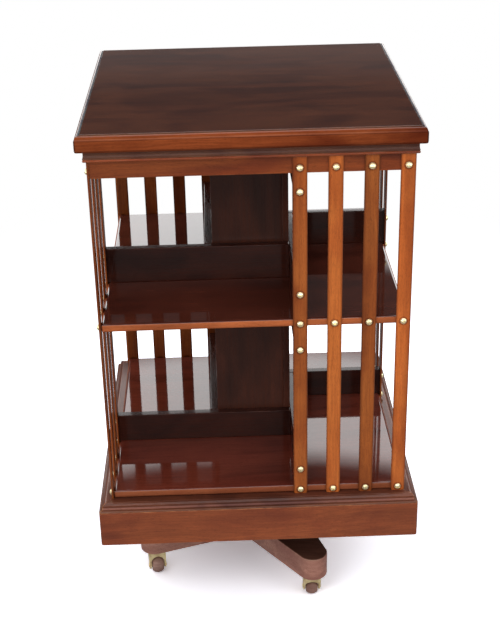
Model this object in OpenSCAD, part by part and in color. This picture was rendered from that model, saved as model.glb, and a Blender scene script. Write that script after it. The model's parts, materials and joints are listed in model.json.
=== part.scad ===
// Revolving bookcase: a two-tier square case that turns on a fixed steel spindle over a castered cross.
// Millimetres, +Z up, origin on the floor below the spindle.
// Every side of the case is the same, so pieces are drawn for the front and turned by quarter turns.

/* [Case] */
// Width and depth of the case boards, inside the slats
case_w = 456; // [440:2:500]
// Thickness of the middle and base boards
board_t = 12.5; // [11:0.5:16]
// Radius of the rounded edges of the middle and base boards
nose_r = 5; // [1:0.5:7]
// Clear height of the lower tier
lower_h = 279; // [250:1:320]
// Clear height of the upper tier
upper_h = 254.5; // [230:0.5:300]
// Height of the frieze under the top
frieze_h = 26; // [20:0.5:40]
// Thickness of the frieze
frieze_t = 18; // [14:0.5:24]
// Diameter of the holes that the spindle passes through in the case boards
spindle_hole_d = 60; // [40:1:70]

/* [Top] */
// Thickness of the case's own top, behind the cornice
case_top_t = 16; // [13:0.5:24]
// Thickness of the top board up to its raised field
top_t = 25.5; // [22:0.5:36]
// How far the top board stands out past the case boards
top_overhang = 17; // [12:0.5:30]
// Radius of the top board's lower edge
top_edge_r = 5; // [2:0.5:7]
// Radius of the small round where the top board's face ends
top_arris_r = 1.8; // [1:0.1:2.4]
// Upright fillet between that round and the ovolo
top_fillet_h = 1.8; // [1:0.1:3]
// Radius of the top board's ovolo
top_ovolo_r = 4.2; // [3:0.1:6]
// Distance from the top board's face in to the raised field
field_inset = 8.5; // [7.5:0.5:20]
// Height of the raised field over the ovolo
field_rise = 1.5; // [0.5:0.1:2.5]
// Radius of the top board's and the plinth's upright corners
corner_r = 4; // [1:0.5:8]
// How far the cornice's neck stands out past the case boards
cornice_neck = 6.2; // [4:0.1:10]
// Height of the cornice's straight neck
cornice_neck_h = 5.5; // [2:0.1:8]
// How far the cornice flares out below its neck
cornice_flare = 1.4; // [0.5:0.1:3]
// Radius of the bead along the cornice's lower edge
cornice_bead_r = 2.2; // [1.5:0.1:3]

/* [Slats] */
// Width of each slat
slat_w = 21.5; // [16:0.5:30]
// Thickness of each slat
slat_t = 3; // [2.5:0.1:6]
// Slats on each side
slat_count = 4; // [3:1:5]
// Radius of the slats' long front edges
slat_edge_r = 1.2; // [0.5:0.1:2]
// Radius of the slats' lower corners
slat_corner_r = 3; // [1:0.5:8]
// Gap between the slats' upper ends and the cornice
slat_top_gap = 1; // [0.3:0.1:4]
// Diameter of the brass screw heads
head_d = 10; // [8:0.5:12]
// How far the screw heads stand out
head_rise = 4; // [2:0.1:4.5]
// Width of the slot in the screw heads
slot_w = 1; // [0.6:0.1:1.6]
// Turn of the slots from the level, in degrees
slot_turn = 35; // [0:5:175]
// Depth of the slot in the screw heads
slot_depth = 1; // [0.5:0.1:1.8]
// Diameter of the slat screws' shanks
shank_d = 3.5; // [2.5:0.1:4.5]
// Length of the slat screws behind the slat
shank_l = 14; // [10:0.5:16]
// Height of the upper screws over the frieze's lower edge
frieze_screw_up = 8.5; // [7:0.5:12]
// Height of the middle screws over the middle board's lower face
board_screw_up = 6; // [4:0.5:8]
// Height of the lowest screws over the base board's lower face
base_screw_up = 7.5; // [5:0.5:9]
// Distance of a stop's or rail's screw from its free edge
stop_screw_in = 16; // [10:0.5:24]

/* [Column and stops] */
// Width of the square column round the spindle
column_w = 121; // [90:1:150]
// Thickness of the column's boards
column_t = 10; // [8:0.5:14]
// Thickness of the book stops and head rails
stop_t = 13; // [10:0.5:16]
// Height of the upper tier's book stops
upper_stop_h = 57; // [40:1:80]
// Height of the lower tier's book stops
lower_stop_h = 48; // [40:1:80]
// Depth of the upper tier's head rails, from the case's top down
upper_rail_h = 69.5; // [62:0.5:90]
// Depth of the lower tier's head rails, from the middle board down
lower_rail_h = 53.5; // [40:0.5:80]

/* [Plinth] */
// Height of the plinth's sides
plinth_h = 60.5; // [50:0.5:80]
// Thickness of the plinth's sides
plinth_t = 20; // [16:0.5:26]
// How far the plinth stands out past the case boards
plinth_overhang = 23; // [18:0.5:34]
// Radius of the round where the plinth's face meets its moulding
plinth_round_r = 2.5; // [1.5:0.1:3.5]
// Width of the groove's ledge over that round
plinth_groove_w = 3; // [1.5:0.1:4]
// Height of the upright fillet over the ledge
plinth_fillet_h = 4; // [2:0.1:6]
// Radius of the plinth moulding's ovolo
plinth_ovolo_r = 6; // [4:0.1:8]
// How far the plinth's moulding reaches in under the base board
plinth_lap = 23; // [15:1:40]
// Space between the stand's legs and the plinth
under_gap = 78.5; // [70:0.5:110]

/* [Stand] */
// Height of the stand's rails
leg_h = 42.5; // [32:0.5:50]
// Distance from the spindle to the centre of each rounded leg end
leg_reach = 199.2; // [180:0.2:210]
// Width of the rounded leg ends
leg_end_w = 48.6; // [44:0.2:56]
// Slope of each side of the legs, in degrees, wider towards the spindle
leg_taper = 9.3; // [4:0.1:11]
// Turn of the stand on the floor, in degrees
stand_turn = -63.1; // [-90:0.1:90]
// Diameter of the turned hub on the stand
hub_d = 150; // [130:1:180]
// Height of the hub
hub_h = 36; // [30:0.5:40]
// Radius of the hub's rounded upper edge
hub_edge_r = 8; // [2:0.5:12]

/* [Spindle and bearings] */
// Diameter of the spindle
spindle_d = 22; // [18:0.5:26]
// Slope length of the spindle's pointed end
spindle_tip = 3; // [1:0.5:5]
// Play between a turning piece and what it turns in, on each side
running_gap = 0.05; // [0.02:0.01:0.1]
// Play between a fixed pin or screw and its hole, on each side
seat_gap = 0.05; // [0.02:0.01:0.1]
// Diameter of the iron flange on the hub
flange_d = 96; // [80:1:110]
// Thickness of the iron flange and plates
iron_t = 5; // [4:0.5:6]
// Distance of the flange's screws from the spindle, along each side
flange_screw_at = 26; // [24:1:28]
// Diameter of the iron collars round the spindle
collar_d = 38; // [32:0.5:39]
// Height of the flange's collar
flange_collar_h = 14; // [8:0.5:16]
// Width of the guide's square iron plate
plate_w = 92; // [84:1:110]
// Gap between the pivot cup's square plate and the column's boards, on each side
cup_side_gap = 4.5; // [1:0.5:8]
// Distance of the pivot cup's screws in from the edges of its plate
cup_screw_in = 10; // [8:0.5:11]
// Length of the guide's collar below its plate
guide_collar_h = 12; // [8:0.5:14]
// Depth of the pivot cup's bore
cup_depth = 30; // [20:1:60]
// Thickness of the wooden bearer under the base board
bearer_t = 20; // [17:0.5:26]
// Width of the bearer
bearer_w = 150; // [120:1:180]
// Distance of the guide plate's screws from the spindle, along each side
plate_screw_at = 36; // [34:1:38]
// Distance of the bearer's screws from the spindle, along the bearer
bearer_screw_at = 150; // [120:1:180]
// Distance of the top board's screws from the spindle, along each side
top_screw_at = 190; // [150:1:200]
// Diameter of the wood screws' heads
wood_head_d = 8; // [7:0.5:10]
// Height of the wood screws' heads
wood_head_h = 2.5; // [2:0.1:3]
// Diameter of the wood screws' shanks
wood_shank_d = 4; // [3:0.1:5]
// How far the wood screws bite into the second piece
wood_bite = 10; // [6:0.5:12]

/* [Casters] */
// Height of the casters, floor to leg
caster_h = 47.5; // [46:0.5:60]
// How far each caster's pintle stands in from the centre of its rounded leg end
caster_in = 2.2; // [0:0.1:10]
// How far each wheel trails behind its pintle
trail = 6; // [3:0.5:10]
// Diameter of the wheels
wheel_d = 28; // [26:0.5:32]
// Width of the wheels
wheel_w = 19.5; // [16:0.5:20]
// Diameter of the axles
axle_d = 5; // [4:0.1:6]
// Diameter of the axles' riveted heads
axle_head_d = 8; // [7:0.1:10]
// Height of the axles' riveted heads
axle_head_h = 1; // [0.6:0.1:2]
// Thickness of the horn's cheeks
cheek_t = 3.6; // [3:0.1:6]
// Wall of the cheeks round the axle
cheek_wall = 4; // [2.5:0.5:6]
// Gap between a wheel and each cheek
cheek_gap = 1.2; // [0.5:0.1:2]
// Gap between a wheel and the arch over it
arch_gap = 5.5; // [3:0.1:7]
// Length of the horn's top, along the way it rolls
horn_l = 24; // [20:0.5:28]
// Radius of the horn's shoulders
horn_shoulder_r = 4; // [2:0.5:7]
// Diameter of the neck under the caster's plate
neck_d = 15; // [12:0.5:18]
// Length of that neck
neck_h = 3.5; // [2:0.1:6]
// Diameter of the pintle
pintle_d = 8; // [6:0.1:10]
// How far the pintle reaches into the leg
pintle_l = 20; // [12:0.5:26]
// Diameter of the caster's plate
caster_plate_d = 38; // [32:0.5:42]
// Thickness of the caster's plate
caster_plate_t = 3; // [2:0.1:4]
// Distance of the caster plate's screws from the pintle
caster_screw_at = 13.5; // [12:0.1:15]
// Diameter of the caster plate's screw heads
caster_head_d = 5; // [4:0.1:6]
// Height of the caster plate's screw heads
caster_head_h = 1.2; // [0.8:0.1:1.6]
// Diameter of the caster plate's screw shanks
caster_shank_d = 3; // [2:0.1:3.5]

/* [Hidden] */
$fn = 96;
SIDES = ["front", "right", "back", "left"];
CORNERS = ["front_right", "back_right", "back_left", "front_left"];
// Direction in which each wheel trails, in degrees from +X, in the order of CORNERS
CASTER_ANGLES = [90, 15, 160, -80];

// Heights, from the floor up
leg_z = caster_h;
hub_z = leg_z + leg_h;
flange_z = hub_z + hub_h;
plinth_z = hub_z + under_gap;
cap_z = plinth_z + plinth_h;
cap_h = plinth_round_r + plinth_fillet_h + plinth_ovolo_r;
base_z = cap_z + cap_h;
lower_z = base_z + board_t;
shelf_z = lower_z + lower_h;
upper_z = shelf_z + board_t;
case_top_z = upper_z + upper_h;
frieze_z = case_top_z - frieze_h;
top_z = case_top_z + case_top_t;
total_h = top_z + top_t;

// Half widths, from the spindle out
case_half = case_w/2;
slat_face = case_half + slat_t;
top_half = case_half + top_overhang;
plinth_half = case_half + plinth_overhang;
column_half = column_w/2;
cap_inner = case_half - plinth_lap;

// Radii
spindle_r = spindle_d/2;
bearing_r = spindle_r + running_gap;
edge_r = min(nose_r, board_t/2 - 0.5);
far = 2*plinth_half;
cut = 1;
// How far the legs' straight sides start inside their round ends
end_lap = 0.03;
// Thickness of the glue where boards of one column or set of rails meet
glue_t = 0.1;

// Slats, from the one that holds the stops to the one at the corner
slat_first = column_half + stop_t/2;
slat_last = slat_face - slat_w/2;
slat_pitch = (slat_last - slat_first)/(slat_count - 1);
slat_z = base_z;
slat_l = case_top_z - slat_top_gap - slat_z;
SCREW_HEIGHTS = [base_z + base_screw_up, shelf_z + board_screw_up, frieze_z + frieze_screw_up];
STOP_SCREW_HEIGHTS = [
    lower_z + lower_stop_h - stop_screw_in,
    shelf_z - lower_rail_h + stop_screw_in,
    upper_z + upper_stop_h - stop_screw_in,
    case_top_z - upper_rail_h + stop_screw_in
];

// Bearings
bearer_z = base_z - bearer_t;
guide_z = bearer_z - iron_t;
cup_plate_z = case_top_z - iron_t;
cup_z = case_top_z - iron_t - cup_depth;
spindle_top = cup_plate_z - running_gap;
cup_half = column_half - column_t - cup_side_gap;
cup_screw_at = cup_half - cup_screw_in;

// Casters
caster_reach = leg_reach - caster_in;
axle_z = wheel_d/2;
arch_half = wheel_w/2 + cheek_gap;
arch_z = wheel_d + arch_gap - arch_half;
horn_half = arch_half + cheek_t;
horn_top = leg_z - caster_plate_t - running_gap;
cheek_end_r = axle_d/2 + cheek_wall;

// Slab of a section: half width from the middle, from low to high
module band(half, low, high) {
    translate([-half, low]) square([2*half, high - low]);
}

// Section of a board with its lower and upper edges rounded
module rounded_band(half, low, high, low_r, high_r) {
    band(half, low + low_r, high - high_r);
    band(half - low_r, low, low + low_r + high_r);
    band(half - high_r, high - low_r - high_r, high);
    for (side = [-1, 1]) {
        translate([side*(half - low_r), low + low_r]) circle(low_r);
        translate([side*(half - high_r), high - high_r]) circle(high_r);
    }
}

// Square board whose four edges all follow one section, drawn across its width
module moulded_board() {
    intersection() {
        rotate([90, 0, 0]) linear_extrude(height = far, center = true) children();
        rotate([90, 0, 90]) linear_extrude(height = far, center = true) children();
    }
}

// Upright square prism with rounded corners
module rounded_prism(half, r, low, high) {
    translate([0, 0, low]) linear_extrude(height = high - low) {
        square([2*half, 2*(half - r)], center = true);
        square([2*(half - r), 2*half], center = true);
        for (x = [-1, 1], y = [-1, 1]) translate([x*(half - r), y*(half - r)]) circle(r);
    }
}

// Strip along the front, mitred at both ends; its section is drawn as distance from the spindle and height
module mitred_strip() {
    intersection() {
        rotate([90, 0, -90]) linear_extrude(height = far, center = true) children();
        linear_extrude(height = total_h) polygon([[0, 0], [-far, -far], [far, -far]]);
    }
}

module on_side(index) {
    rotate([0, 0, 90*index]) children();
}

// Turned to each side in turn
module all_sides() {
    for (index = [0:3]) on_side(index) children();
}

// Straight hole or shank along +Z
module upright(r, low, high) {
    translate([0, 0, low]) cylinder(r = r, h = high - low);
}

// One of four places at equal distances along X and Y
module four_places(x, y) {
    for (i = [-1, 1], j = [-1, 1]) translate([i*x, j*y, 0]) children();
}

// Wood screw driven upwards: its head lies under the height low, its shank ends at high
module screw_up(low, high) {
    upright(wood_head_d/2, low - wood_head_h, low);
    upright(wood_shank_d/2, low - wood_head_h, high);
}

module screw_hole(low, high) {
    upright(wood_shank_d/2 + seat_gap, low, high);
}

// Screws of the front's slats, as places on the slats' outer face looking out
module slat_screw_places() {
    for (i = [0:slat_count - 1], z = SCREW_HEIGHTS)
        translate([slat_first + i*slat_pitch, -slat_face, z]) rotate([90, 0, 0]) children();
    for (z = STOP_SCREW_HEIGHTS)
        translate([slat_first, -slat_face, z]) rotate([90, 0, 0]) children();
}

module slat_screw() {
    ball_r = (pow(head_d/2, 2) + pow(head_rise, 2))/(2*head_rise);
    difference() {
        union() {
            intersection() {
                translate([0, 0, head_rise - ball_r]) sphere(ball_r);
                cylinder(r = head_d, h = head_d);
            }
            upright(shank_d/2, -slat_t - shank_l, cut);
        }
        rotate([0, 0, slot_turn]) translate([-head_d, -slot_w/2, head_rise - slot_depth])
            cube([2*head_d, slot_w, head_d]);
    }
}

// Holes for the slat screws of all four sides, to be cut from slats and boards
module slat_screw_holes() {
    all_sides() slat_screw_places() upright(shank_d/2 + seat_gap, -slat_t - shank_l - seat_gap, cut);
}

module top_board() {
    fillet_half = top_half - top_arris_r;
    ovolo_half = fillet_half - top_ovolo_r;
    ovolo_z = top_t - field_rise - top_ovolo_r;
    face_top = ovolo_z - top_fillet_h;
    color("#5a2f26") difference() {
        intersection() {
            translate([0, 0, top_z]) moulded_board() {
                rounded_band(top_half, 0, face_top, top_edge_r, top_arris_r);
                band(fillet_half, face_top - top_arris_r, ovolo_z);
                rounded_band(fillet_half, top_edge_r, ovolo_z + top_ovolo_r, top_arris_r, top_ovolo_r);
                band(top_half - field_inset, top_edge_r, top_t);
            }
            rounded_prism(top_half, corner_r, top_z, total_h);
        }
        four_places(top_screw_at, top_screw_at) screw_hole(top_z - cut, top_z + wood_bite + seat_gap);
    }
}

// The case's own top: its underside is the ceiling of the upper tier
module case_top() {
    color("#6b3320") difference() {
        translate([-case_half, -case_half, case_top_z]) cube([case_w, case_w, case_top_t]);
        four_places(top_screw_at, top_screw_at) screw_hole(case_top_z - cut, top_z + cut);
        four_places(cup_screw_at, cup_screw_at)
            screw_hole(case_top_z - cut, case_top_z + wood_bite + seat_gap);
    }
}

// Mitred moulding round the edge of the case's top: straight neck, hollow and bead
module cornice(index) {
    neck = case_half + cornice_neck;
    neck_z = top_z - cornice_neck_h;
    bead_z = case_top_z + 2*cornice_bead_r;
    hollow_h = neck_z - bead_z;
    hollow_r = (pow(cornice_flare, 2) + pow(hollow_h, 2))/(2*cornice_flare);
    color("#6b3320") on_side(index) mitred_strip() {
        translate([case_half, case_top_z]) square([cornice_neck, case_top_t]);
        difference() {
            translate([neck, bead_z]) square([cornice_flare, hollow_h]);
            translate([neck + hollow_r, neck_z]) circle(hollow_r);
        }
        translate([neck + cornice_flare - cornice_bead_r, case_top_z + cornice_bead_r]) circle(cornice_bead_r);
        translate([neck, case_top_z]) square([cornice_flare - cornice_bead_r/2, cornice_bead_r/2]);
    }
}

module frieze(index) {
    color("#7a3b22") difference() {
        on_side(index) mitred_strip()
            translate([case_half - frieze_t, frieze_z]) square([frieze_t, frieze_h]);
        slat_screw_holes();
    }
}

// Middle and base boards: rounded edges, and a clear hole for the spindle
module case_board(low) {
    difference() {
        intersection() {
            moulded_board() rounded_band(case_half, low, low + board_t, edge_r, edge_r);
            rounded_prism(case_half, edge_r, low, low + board_t);
        }
        upright(spindle_hole_d/2, low - cut, low + board_t + cut);
        slat_screw_holes();
    }
}

module mid_shelf() {
    color("#5e2d1e") case_board(shelf_z);
}

module base_board() {
    color("#5e2d1e") difference() {
        case_board(base_z);
        four_places(bearer_screw_at, bearer_w/4)
            screw_hole(base_z - cut, base_z + wood_bite + seat_gap);
    }
}

module plinth(index) {
    color("#6b3320") intersection() {
        on_side(index) mitred_strip()
            translate([plinth_half - plinth_t, plinth_z]) square([plinth_t, plinth_h]);
        rounded_prism(plinth_half, corner_r, plinth_z, cap_z);
    }
}

// Mitred moulding on a plinth side: round, groove, fillet, ovolo and the ledge under the slats
module plinth_cap(index) {
    groove = plinth_half - plinth_round_r;
    fillet = groove - plinth_groove_w;
    ledge = fillet - plinth_ovolo_r;
    groove_z = cap_z + plinth_round_r;
    ovolo_z = groove_z + plinth_fillet_h;
    color("#6b3320") intersection() {
        on_side(index) mitred_strip() {
            translate([cap_inner, cap_z]) square([groove - cap_inner, plinth_round_r]);
            intersection() {
                translate([groove, cap_z]) circle(plinth_round_r);
                translate([groove, cap_z]) square(plinth_round_r);
            }
            translate([cap_inner, cap_z]) square([fillet - cap_inner, ovolo_z - cap_z]);
            translate([cap_inner, cap_z]) square([ledge - cap_inner, cap_h]);
            intersection() {
                translate([ledge, ovolo_z]) circle(plinth_ovolo_r);
                translate([ledge, ovolo_z]) square(plinth_ovolo_r);
            }
        }
        rounded_prism(plinth_half, corner_r, cap_z, base_z);
    }
}

// Four boards of one tier's column, each lapping the next
module column(low, high) {
    color("#4a2419") all_sides() translate([-column_half, -column_half, low])
        cube([column_w - column_t - glue_t, column_t, high - low]);
}

// Board along the column's front face, from the left side's slats to the right side's stop
module stop_board(index, low, high) {
    difference() {
        on_side(index) translate([-case_half, -column_half - stop_t, low])
            cube([case_half + column_half - glue_t, stop_t, high - low]);
        slat_screw_holes();
    }
}

module upper_stop(index) {
    color("#5e2d1e") stop_board(index, upper_z, upper_z + upper_stop_h);
}

module lower_stop(index) {
    color("#5e2d1e") stop_board(index, lower_z, lower_z + lower_stop_h);
}

// Head rails of the upper tier, notched over the frieze
module upper_rails() {
    color("#4a2419") for (index = [0:3]) difference() {
        stop_board(index, case_top_z - upper_rail_h, case_top_z);
        on_side(index) translate([-case_half - cut, -case_half, frieze_z])
            cube([frieze_t + cut, case_w, frieze_h + cut]);
    }
}

module lower_rails() {
    color("#4a2419") for (index = [0:3]) stop_board(index, shelf_z - lower_rail_h, shelf_z);
}

// One side's slats: the first holds the stops' ends, the last stands at the corner
module slats(index) {
    color("#9a5a2c") difference() {
        on_side(index) for (i = [0:slat_count - 1])
            translate([slat_first + i*slat_pitch, -case_half, slat_z]) slat();
        slat_screw_holes();
    }
}

// A slat standing on its lower end, its back in the plane y = 0
module slat() {
    half = slat_w/2;
    intersection() {
        linear_extrude(height = slat_l) rotate(180) {
            translate([-half, 0]) square([slat_w, slat_t - slat_edge_r]);
            translate([slat_edge_r - half, 0]) square([slat_w - 2*slat_edge_r, slat_t]);
            for (side = [-1, 1]) translate([side*(half - slat_edge_r), slat_t - slat_edge_r])
                circle(slat_edge_r);
        }
        translate([0, cut, 0]) rotate([90, 0, 0]) linear_extrude(height = slat_t + 2*cut) {
            band(half, slat_corner_r, slat_l);
            band(half - slat_corner_r, 0, slat_l);
            for (side = [-1, 1]) translate([side*(half - slat_corner_r), slat_corner_r])
                circle(slat_corner_r);
        }
    }
}

module slat_screws() {
    color("#d9b45a") all_sides() slat_screw_places() slat_screw();
}

// Iron plate and cup under the case's top: the case hangs on the spindle's end
module pivot_cup() {
    color("#3a3a3c") difference() {
        union() {
            translate([-cup_half, -cup_half, cup_plate_z]) cube([2*cup_half, 2*cup_half, iron_t]);
            upright(collar_d/2, cup_z, cup_plate_z + cut);
        }
        upright(bearing_r, cup_z - cut, cup_plate_z);
        four_places(cup_screw_at, cup_screw_at) screw_hole(cup_plate_z - cut, case_top_z + cut);
    }
}

// Iron plate with a collar under the bearer, which keeps the case upright on the spindle
module guide_plate() {
    color("#3a3a3c") difference() {
        union() {
            translate([-plate_w/2, -plate_w/2, guide_z]) cube([plate_w, plate_w, iron_t]);
            upright(collar_d/2, guide_z - guide_collar_h, bearer_z);
        }
        upright(bearing_r, guide_z - guide_collar_h - cut, bearer_z + cut);
        four_places(plate_screw_at, plate_screw_at) screw_hole(guide_z - cut, bearer_z + cut);
    }
}

// Wooden rail under the base board, between the plinth's mouldings
module bottom_bearer() {
    color("#4a2419") difference() {
        translate([-cap_inner, -bearer_w/2, bearer_z]) cube([2*cap_inner, bearer_w, bearer_t]);
        upright(spindle_hole_d/2, bearer_z - cut, base_z + cut);
        four_places(plate_screw_at, plate_screw_at)
            screw_hole(bearer_z - cut, bearer_z + wood_bite + seat_gap);
        four_places(bearer_screw_at, bearer_w/4) screw_hole(bearer_z - cut, base_z + cut);
    }
}

module case_screws() {
    color("#8a8a8c") {
        four_places(plate_screw_at, plate_screw_at) screw_up(guide_z, bearer_z + wood_bite);
        four_places(cup_screw_at, cup_screw_at) screw_up(cup_plate_z, case_top_z + wood_bite);
        four_places(bearer_screw_at, bearer_w/4) screw_up(bearer_z, base_z + wood_bite);
        four_places(top_screw_at, top_screw_at) screw_up(case_top_z, top_z + wood_bite);
    }
}

// Outline of one rail of the cross, seen from above: round ends, sides widening to the middle
module rail_outline() {
    end_r = leg_end_w/2;
    touch_x = leg_reach + (end_r - end_lap)*sin(leg_taper);
    touch_y = (end_r - end_lap)*cos(leg_taper);
    middle_y = touch_y + touch_x*tan(leg_taper);
    polygon([
        [touch_x, touch_y], [0, middle_y], [-touch_x, touch_y],
        [-touch_x, -touch_y], [0, -middle_y], [touch_x, -touch_y]
    ]);
    for (end = [-1, 1]) translate([end*leg_reach, 0]) circle(end_r);
}

// One rail of the cross, halved over the other, bored for the casters
module leg_rail(turn, low_notch, high_notch) {
    color("#7a4a3a") rotate([0, 0, stand_turn + turn]) difference() {
        translate([0, 0, leg_z]) linear_extrude(height = leg_h) rail_outline();
        translate([0, 0, low_notch]) linear_extrude(height = high_notch - low_notch)
            rotate(90) rail_outline();
        for (end = [0, 180]) rotate([0, 0, end]) translate([caster_reach, 0, 0]) {
            upright(pintle_d/2 + running_gap, leg_z - cut, leg_z + pintle_l + cut);
            caster_screw_places()
                upright(caster_shank_d/2 + seat_gap, leg_z - cut, leg_z + wood_bite + seat_gap);
        }
    }
}

module leg_rail_lower() {
    leg_rail(0, leg_z + leg_h/2, hub_z + cut);
}

module leg_rail_upper() {
    leg_rail(90, leg_z - cut, leg_z + leg_h/2);
}

// Turned block under the spindle's flange
module hub_block() {
    hub_r = hub_d/2;
    color("#5e3528") difference() {
        rotate_extrude() {
            translate([0, hub_z]) square([hub_r, hub_h - hub_edge_r]);
            translate([0, hub_z]) square([hub_r - hub_edge_r, hub_h]);
            translate([hub_r - hub_edge_r, flange_z - hub_edge_r]) intersection() {
                circle(hub_edge_r);
                square(hub_edge_r);
            }
        }
        upright(spindle_r + seat_gap, hub_z - cut, flange_z + cut);
        flange_screw_places() screw_hole(flange_z - wood_bite - seat_gap, flange_z + cut);
    }
}

module spindle() {
    color("#9a9a9c") rotate_extrude() polygon([
        [0, hub_z], [spindle_r, hub_z], [spindle_r, spindle_top - spindle_tip],
        [spindle_r - spindle_tip, spindle_top], [0, spindle_top]
    ]);
}

// Iron flange on the hub, which holds the spindle upright
module spindle_flange() {
    color("#3a3a3c") difference() {
        union() {
            upright(flange_d/2, flange_z, flange_z + iron_t);
            upright(collar_d/2, flange_z, flange_z + iron_t + flange_collar_h);
        }
        upright(spindle_r + seat_gap, flange_z - cut, flange_z + iron_t + flange_collar_h + cut);
        flange_screw_places() screw_hole(flange_z - cut, flange_z + iron_t + cut);
    }
}

module flange_screw_places() {
    four_places(flange_screw_at, flange_screw_at) children();
}

// Place of one caster's pintle under its leg
module under_leg(index) {
    rotate([0, 0, stand_turn + 90*index]) translate([caster_reach, 0, 0]) children();
}

// Places of the screws round a caster's pintle
module caster_screw_places() {
    for (turn = [60, 180, 300]) rotate([0, 0, turn]) translate([caster_screw_at, 0, 0]) children();
}

module caster_plates() {
    plate_z = leg_z - caster_plate_t;
    color("#c9a24a") for (index = [0:3]) under_leg(index) difference() {
        upright(caster_plate_d/2, plate_z, leg_z);
        upright(pintle_d/2 + running_gap, plate_z - cut, leg_z + cut);
        caster_screw_places() upright(caster_shank_d/2 + seat_gap, plate_z - cut, leg_z + cut);
    }
}

// Screws of the spindle's flange, and of the casters' plates
module stand_screws() {
    plate_z = leg_z - caster_plate_t;
    color("#8a8a8c") {
        flange_screw_places() {
            upright(wood_head_d/2, flange_z + iron_t, flange_z + iron_t + wood_head_h);
            upright(wood_shank_d/2, flange_z - wood_bite, flange_z + iron_t + wood_head_h);
        }
        for (index = [0:3]) under_leg(index) caster_screw_places() {
            upright(caster_head_d/2, plate_z - caster_head_h, plate_z);
            upright(caster_shank_d/2, plate_z - caster_head_h, leg_z + wood_bite);
        }
    }
}

// A caster's own frame: the pintle's axis at the origin, the wheel trailing along +X
module on_caster(index) {
    turn = stand_turn + 90*index;
    translate([caster_reach*cos(turn), caster_reach*sin(turn), 0])
        rotate([0, 0, CASTER_ANGLES[index]]) children();
}

// Brass horn: a block with an arch over the wheel, cheeks down to the axle, a neck and the pintle above
module horn(index) {
    body_top = horn_top - neck_h;
    cheek_back = trail + cheek_end_r;
    color("#c9a24a") on_caster(index) difference() {
        union() {
            intersection() {
                rotate([90, 0, 90]) linear_extrude(height = far, center = true)
                    rounded_band(horn_half, 0, body_top, horn_shoulder_r, horn_shoulder_r);
                rotate([90, 0, 0]) linear_extrude(height = far, center = true) {
                    translate([trail, axle_z]) circle(cheek_end_r);
                    polygon([
                        [trail - cheek_end_r, axle_z], [-horn_l/2, arch_z + arch_half],
                        [-horn_l/2, body_top], [max(horn_l/2, cheek_back), body_top],
                        [cheek_back, axle_z]
                    ]);
                }
            }
            upright(neck_d/2, body_top - cut, horn_top);
            upright(pintle_d/2, body_top - cut, leg_z + pintle_l);
        }
        rotate([90, 0, 90]) linear_extrude(height = far, center = true) {
            translate([0, arch_z]) circle(arch_half);
            band(arch_half, -cut, arch_z);
        }
        translate([trail, 0, axle_z]) rotate([90, 0, 0])
            cylinder(r = axle_d/2 + seat_gap, h = far, center = true);
    }
}

module axle(index) {
    color("#b0a080") on_caster(index) translate([trail, 0, axle_z]) rotate([90, 0, 0]) {
        cylinder(r = axle_d/2, h = 2*horn_half + axle_head_h, center = true);
        for (side = [-1, 1]) translate([0, 0, side*(horn_half + axle_head_h/2)])
            cylinder(r = axle_head_d/2, h = axle_head_h, center = true);
    }
}

// Turned hardwood wheel with a crowned tread
module wheel(index) {
    color("#8a6a5a") on_caster(index) translate([trail, 0, axle_z]) rotate([90, 0, 0]) difference() {
        intersection() {
            sphere(wheel_d/2);
            cylinder(r = wheel_d, h = wheel_w, center = true);
        }
        cylinder(r = axle_d/2 + running_gap, h = far, center = true);
    }
}

top_board();
case_top();
mid_shelf();
base_board();
column(upper_z, case_top_z);  // column_upper
column(lower_z, shelf_z);  // column_lower
upper_rails();
lower_rails();
slat_screws();
pivot_cup();
guide_plate();
bottom_bearer();
case_screws();
leg_rail_lower();
leg_rail_upper();
hub_block();
spindle();
spindle_flange();
stand_screws();
caster_plates();
for (index = [0:3]) {
    cornice(index);
    frieze(index);
    plinth(index);
    plinth_cap(index);
    upper_stop(index);
    lower_stop(index);
    slats(index);
    horn(index);
    axle(index);
    wheel(index);
}
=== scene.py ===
import itertools
import json
import math

import bmesh
import bpy
from mathutils import Matrix, Vector


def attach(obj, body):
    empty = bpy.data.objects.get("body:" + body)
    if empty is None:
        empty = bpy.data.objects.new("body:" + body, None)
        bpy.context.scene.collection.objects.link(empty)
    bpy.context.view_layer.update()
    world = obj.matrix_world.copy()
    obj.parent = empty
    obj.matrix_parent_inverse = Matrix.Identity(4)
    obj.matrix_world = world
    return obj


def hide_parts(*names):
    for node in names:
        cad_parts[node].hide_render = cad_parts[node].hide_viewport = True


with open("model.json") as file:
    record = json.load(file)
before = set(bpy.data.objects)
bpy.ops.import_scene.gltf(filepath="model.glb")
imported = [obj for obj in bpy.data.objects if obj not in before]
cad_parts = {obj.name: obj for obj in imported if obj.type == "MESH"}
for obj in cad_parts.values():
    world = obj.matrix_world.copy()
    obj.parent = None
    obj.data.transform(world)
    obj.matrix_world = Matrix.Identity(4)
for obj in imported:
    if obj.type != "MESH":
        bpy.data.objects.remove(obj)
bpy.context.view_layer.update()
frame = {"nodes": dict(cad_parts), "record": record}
scene = bpy.context.scene

# The view: the photograph's camera, which stands above the bookcase's top and looks down on it.
# Its place and angles are in metres and radians, its focal length in pixels of the photograph.
VIEW_PLACE = Vector((-0.0464, -1.9238, 1.3694))
VIEW_YAW = 0.0233
VIEW_PITCH = 0.4428
VIEW_ROLL = -0.0213
VIEW_FOCAL_PIXELS = 1274.1
VIEW_HEIGHT_PIXELS = 618

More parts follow.
